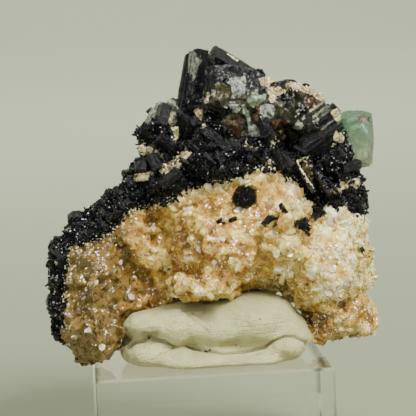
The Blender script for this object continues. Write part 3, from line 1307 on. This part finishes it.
class SPECIMEN_OT_muscovite(Operator):
    """Models the golden muscovite: a rough body covered in plates and books"""

    bl_idname = "specimen.muscovite"
    bl_label = "Golden muscovite"

    def execute(self, context):
        looks = context.scene.specimen_mica
        looks_of_schorl = context.scene.specimen_schorl
        body = fine_skin(copy_node("muscovite_matrix", "golden_muscovite"), 0.42 * MM)
        mark_open(body, 0.55 * MM, "muscovite_matrix")
        mark_wide(body, 0.8 * MM)
        mark_near(body, "border", [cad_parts["schorl_crust"]], 3.6 * MM)
        wide, border = get_mark(body, "wide"), get_mark(body, "border")
        set_mark(body, "inner", wide * np.clip(1.5 - border * 2, 0, 1))
        set_mark(body, "rim", wide * border)
        set_mark(body, "fringe", wide * np.clip(border * 3 - 1.7, 0, 1))
        relief(body, (
            ("CLOUDS", 6 * MM, 2.2 * MM), ("VORONOI", 2.8 * MM, -1.2 * MM), ("CLOUDS", 1.1 * MM, 0.25 * MM),
        ))
        only(body)
        bpy.ops.object.shade_smooth()
        paint(body, "pale", PALE_MICA)
        paint(body, "rusty", RUSTY_MICA)
        wear(body, mica_finish("muscovite body", looks, False))
        plate_finish = mica_finish("muscovite plates", looks, True)
        book = mica_plate("book", 3, plate_finish)
        plate = mica_plate("plate", 1, plate_finish)
        pale = mica_plate("pale", 1, cream_finish("pale muscovite"))
        groups = (
            ("muscovite_books", book, looks.books_per_mm2, (0.6, 0.6, 0.8), (1.3, 1.2, 1.4), 60, "inner"),
            ("muscovite_plates", plate, looks.plates_per_mm2, (0.4, 0.35, 0.8), (1.0, 0.85, 1.5), 60, "inner"),
            ("muscovite_grains", plate, looks.grains_per_mm2, (0.15, 0.12, 0.4), (0.4, 0.32, 0.9), 45, "inner"),
            ("muscovite_rim", pale, looks.rim_per_mm2, (0.2, 0.15, 0.4), (0.55, 0.4, 1.2), 60, "rim"),
        )
        for index, (name, kind, density, smallest, largest, tilt, mask) in enumerate(groups):
            made = scatter(body, [kind], name, density, smallest, largest, tilt, looks.seed + 10 * index, mask)
            finished(made, None)
        remove(book, plate, pale)
        chance = random.Random(looks.seed)
        tree = tree_of(body)
        shown = [clear_plate(tree, f"clear_{index}", row, chance) for index, row in enumerate(SEEN_PLATES)]
        shown = wear(joined(shown, "muscovite_clear_plates"), clear_mica_finish())
        finished(shown, None)
        blades = [seen_prism(tree, f"blade_{index}", row, chance, 0.7) for index, row in enumerate(SEEN_BLADES)]
        blades = wear(joined(blades, "schorl_blades"), schorl_finish("schorl blades", looks_of_schorl, True))
        finished(blades, None)
        needle = small_prism("needle", 6, schorl_finish("schorl needles", looks_of_schorl, False))
        made = scatter(
            body, [needle], "schorl_needles", 4.0, (0.2, 0.2, 0.3), (0.8, 0.8, 0.9), 75, looks.seed + 40, "fringe"
        )
        finished(made, None)
        remove(needle)
        finished(body, ["muscovite_matrix"])
        return {"FINISHED"}


class SPECIMEN_OT_schorl(Operator):
    """Models the black schorl crust with its small prisms and large grooved crystals"""

    bl_idname = "specimen.schorl"
    bl_label = "Black schorl"

    def execute(self, context):
        looks = context.scene.specimen_schorl
        crust = fine_skin(copy_node("schorl_crust", "schorl_crust_body"), 0.42 * MM)
        mark_open(crust, 0.55 * MM, "schorl_crust")
        draw_in(crust, LARGE_SCHORL)
        paint(crust, "cream", CRUMBS, PLACES["cream"])
        paint(crust, "worn", (), PLACES["worn"])
        mark_wide(crust, 0.8 * MM)
        set_mark(crust, "bare", get_mark(crust, "wide") * (1 - get_mark(crust, "cream") * 0.8))
        mark_near(crust, "border", [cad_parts["muscovite_matrix"]], 1.6 * MM)
        set_mark(crust, "border", get_mark(crust, "border") * get_mark(crust, "wide"))
        relief(crust, (("CLOUDS", 2.2 * MM, 0.7 * MM), ("VORONOI", 1.0 * MM, -0.35 * MM)))
        wear(crust, schorl_finish("schorl body", looks, False))
        grooved = schorl_finish("grooved schorl", looks, True)
        plain = schorl_finish("broken schorl", looks, False)
        stubs = [small_prism("stub", 9, grooved), shard("shard", plain), shard("splinter", plain)]
        groups = (
            ("schorl_large", looks.large_per_mm2, (1.5, 1.3, 1.0), (3.4, 2.4, 2.6), 80),
            ("schorl_middle", looks.middle_per_mm2, (0.7, 0.6, 0.8), (1.6, 1.3, 1.8), 75),
            ("schorl_small", looks.small_per_mm2, (0.25, 0.2, 0.5), (0.6, 0.5, 1.6), 75),
        )
        for index, (name, density, smallest, largest, tilt) in enumerate(groups):
            made = scatter(crust, stubs, name, density, smallest, largest, tilt, looks.seed + 10 * index, "bare")
            finished(made, None)
        crumb = mica_plate("crumb", 1, cream_finish("muscovite crumbs"))
        for name, density, mask in (("muscovite_crumbs", 3.0, "cream"), ("muscovite_edge", 1.2, "border")):
            made = scatter(
                crust, [crumb], name, density, (0.1, 0.08, 0.3), (0.32, 0.26, 0.7), 50, looks.seed + 50, mask
            )
            finished(made, None)
        remove(crumb)
        chance = random.Random(looks.seed)
        large = []
        for name, root, tip, radius, sides, ending in LARGE_SCHORL:
            slim = FAN_SLIMMER if name.startswith("fan") else 1
            crystal = schorl_prism(name, root, tip, radius * slim, sides, ending, chance, fine=True)
            for mark in ("cream", "worn"):
                paint(crystal, mark, (), () if name.startswith("fan") else PLACES[mark])
            large.append(crystal)
        tree = tree_of(crust, *[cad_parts[node] for node in ("muscovite_matrix", *FLUORITES)])
        for index, row in enumerate(SEEN_SCHORL):
            large.append(seen_prism(tree, f"seen_{index}", row, chance))
        for crystal in large:
            wear(crystal, grooved)
        finished(joined(large, "schorl_crystals"), None)
        finished(crust, ["schorl_crust"])
        ray = small_prism("ray", 6, grooved)
        for node, size in ROSETTES.items():
            ball = fine_skin(copy_node(node, node + "_core"), 0.3 * MM)
            at = points_of(ball)
            middle = at.mean(axis=0)
            at = middle + (at - middle) * size
            ball.data.vertices.foreach_set("co", at.ravel())
            ball.data.update()
            set_mark(ball, "open", np.ones(len(ball.data.vertices)))
            rays = scatter(ball, [ray], node + "_rays", 5.0, (0.2, 0.2, 0.5), (0.4, 0.4, 1.3), 60, looks.seed)
            wear(ball, plain)
            finished(joined([ball, rays], node + "_crystals"), [node])
        remove(ray, *stubs)
        return {"FINISHED"}


class SPECIMEN_OT_fluorite(Operator):
    """Models the fluorites: etched cubes with cut corners and zones of colour"""

    bl_idname = "specimen.fluorite"
    bl_label = "Fluorites"

    def execute(self, context):
        looks = context.scene.specimen_stand
        finishes = {
            "fluorite_green": (green_fluorite_finish, "green_fluorite"),
            "fluorite_centre": (centre_fluorite_finish, "dark_fluorite"),
            "fluorite_grey": (grey_fluorite_finish, "grey_fluorite"),
        }
        for node, (finish, slot) in finishes.items():
            piece = fine_skin(copy_node(node, node + "_crystal"), 0.3 * MM)
            mark_open(piece, 0.1 * MM, node)
            if node == "fluorite_green":
                for mark, outlines in GREEN_PLACES.items():
                    paint(piece, mark, (), outlines)
                relief(piece, (("CLOUDS", 2.0 * MM, 0.3 * MM),))
            else:
                for mark, outlines in PLACES.items():
                    paint(piece, mark, (), outlines)
                relief(piece, (("VORONOI", 1.6 * MM, 0.9 * MM), ("CLOUDS", 0.8 * MM, 0.3 * MM)))
                grow_on(piece, context)
            only(piece)
            bpy.ops.object.shade_smooth_by_angle(angle=math.radians(32))
            wear(piece, finish(looks))
            finished(piece, [node])
        return {"FINISHED"}


def grow_on(piece, context):
    """Small schorl and cream mica that grow on a fluorite."""
    seed = context.scene.specimen_schorl.seed
    clear = get_mark(piece, "open")
    coloured = np.max([get_mark(piece, mark) for mark in PLACES], axis=0)
    set_mark(piece, "schorl", clear * (1 - coloured) * cloud_mark(piece, 4.5 * MM, 0.12, 0.25, 5))
    set_mark(piece, "mica", clear * get_mark(piece, "cream"))
    stub = shard("chip", schorl_finish("schorl chips", context.scene.specimen_schorl, False))
    flake = mica_plate("flake", 1, cream_finish("muscovite flakes"))
    name = piece.name
    chips = scatter(piece, [stub], name + "_schorl", 0.5, (0.4, 0.3, 0.5), (1.5, 1.2, 1.8), 75, seed + 60, "schorl")
    finished(chips, None)
    flakes = scatter(piece, [flake], name + "_mica", 3.0, (0.12, 0.1, 0.4), (0.4, 0.35, 1.0), 70, seed + 70, "mica")
    finished(flakes, None)
    remove(stub, flake)


class SPECIMEN_OT_stage(Operator):
    """Adds the studio paper, the soft lights and the camera"""

    bl_idname = "specimen.stage"
    bl_label = "Stage"

    def execute(self, context):
        looks = context.scene.specimen_stand
        bpy.ops.object.select_all(action="DESELECT")
        bpy.ops.mesh.primitive_plane_add(size=3.0, location=(0, 0, 0))
        floor = added("floor")
        bpy.ops.object.mode_set(mode="EDIT")
        bpy.ops.mesh.select_all(action="DESELECT")
        select_where(floor, lambda at: at.y > 1.4)
        bpy.ops.transform.translate(value=(0, -0.55, 0))
        bpy.ops.mesh.extrude_region_move(TRANSFORM_OT_translate={"value": (0, 0.35, 0.12)})
        bpy.ops.mesh.extrude_region_move(TRANSFORM_OT_translate={"value": (0, 0.2, 0.45)})
        bpy.ops.mesh.extrude_region_move(TRANSFORM_OT_translate={"value": (0, 0.05, 1.6)})
        bpy.ops.object.mode_set(mode="OBJECT")
        placed(floor, Matrix.Identity(4))
        curve = floor.modifiers.new("Curve", "SUBSURF")
        curve.levels = curve.render_levels = 3
        apply_all(floor)
        bpy.ops.object.shade_smooth()
        wear(floor, floor_finish(looks))

        world = bpy.data.worlds.new("studio")
        world.use_nodes = True
        sky = world.node_tree.nodes["Background"]
        sky.inputs["Color"].default_value = tint(226, 230, 220)
        sky.inputs["Strength"].default_value = 0.24
        context.scene.world = world

        def soft_light(name, place, width, height, power, colour, target=(0, 0, 0.06)):
            bpy.ops.object.select_all(action="DESELECT")
            bpy.ops.object.light_add(type="AREA", location=place)
            lamp = bpy.context.object
            lamp.name = name
            lamp.data.shape = "RECTANGLE"
            lamp.data.size = width
            lamp.data.size_y = height
            lamp.data.energy = power
            lamp.data.color = colour
            lamp.visible_camera = False
            aim = Vector(target) - Vector(place)
            lamp.rotation_euler = aim.to_track_quat("-Z", "Y").to_euler()

        soft_light("key", (0.30, -0.38, 0.50), 0.30, 0.24, looks.key_power, (1.0, 0.98, 0.94))
        soft_light("backdrop", (0, 0.35, 0.9), 0.8, 0.3, looks.key_power * 1.07, (1.0, 1.0, 0.98), (0, 1.2, 0.2))
        soft_light("fill", (-0.5, -0.35, 0.25), 0.2, 0.3, looks.key_power * 0.18, (0.96, 1.0, 0.98))
        soft_light("front", (0.02, -0.60, 0.03), 0.3, 0.1, looks.key_power * 0.13, (1.0, 0.99, 0.94))
        soft_light("top", (-0.05, 0.05, 0.60), 0.2, 0.2, looks.key_power * 0.25, (1.0, 1.0, 1.0))

        bpy.ops.object.camera_add(location=Vector(CAMERA_AT) * MM)
        camera = bpy.context.object
        camera.data.sensor_width = 36
        camera.data.lens = 36 * FOCAL / PICTURE
        camera.data.clip_start = 0.02
        camera.data.clip_end = 20
        camera.rotation_euler = camera_turn().to_euler()
        context.scene.camera = camera
        return {"FINISHED"}


def camera_turn():
    """How the camera is turned: left, down, and then rolled."""
    left = Matrix.Rotation(math.radians(-CAMERA_LEFT), 3, "Z")
    down = Matrix.Rotation(math.radians(90 - CAMERA_DOWN), 3, "X")
    roll = Matrix.Rotation(math.radians(-CAMERA_ROLL), 3, "Z")
    return left @ down @ roll


class SPECIMEN_PT_panel(Panel):
    bl_label = "Phantom fluorite"
    bl_idname = "SPECIMEN_PT_panel"
    bl_space_type = "VIEW_3D"
    bl_region_type = "UI"
    bl_category = "Specimen"

    def draw(self, context):
        column = self.layout.column()
        for operator in PIECES:
            column.operator(operator.bl_idname)
        for looks in (context.scene.specimen_mica, context.scene.specimen_schorl, context.scene.specimen_stand):
            for name in looks.__annotations__:
                column.prop(looks, name)


PIECES = (
    SPECIMEN_OT_stage, SPECIMEN_OT_block, SPECIMEN_OT_putty, SPECIMEN_OT_muscovite, SPECIMEN_OT_schorl,
    SPECIMEN_OT_fluorite,
)
SETTINGS = {"specimen_mica": MicaLooks, "specimen_schorl": SchorlLooks, "specimen_stand": StandLooks}


def register():
    for kind in (*SETTINGS.values(), *PIECES, SPECIMEN_PT_panel):
        bpy.utils.register_class(kind)
    for name, kind in SETTINGS.items():
        setattr(bpy.types.Scene, name, PointerProperty(type=kind))


def unregister():
    for name in SETTINGS:
        delattr(bpy.types.Scene, name)
    for kind in reversed((*SETTINGS.values(), *PIECES, SPECIMEN_PT_panel)):
        bpy.utils.unregister_class(kind)


def main():
    register()
    bpy.ops.specimen.stage()
    bpy.ops.specimen.block()
    bpy.ops.specimen.putty()
    bpy.ops.specimen.muscovite()
    bpy.ops.specimen.schorl()
    bpy.ops.specimen.fluorite()


if __name__ == "__main__":
    main()
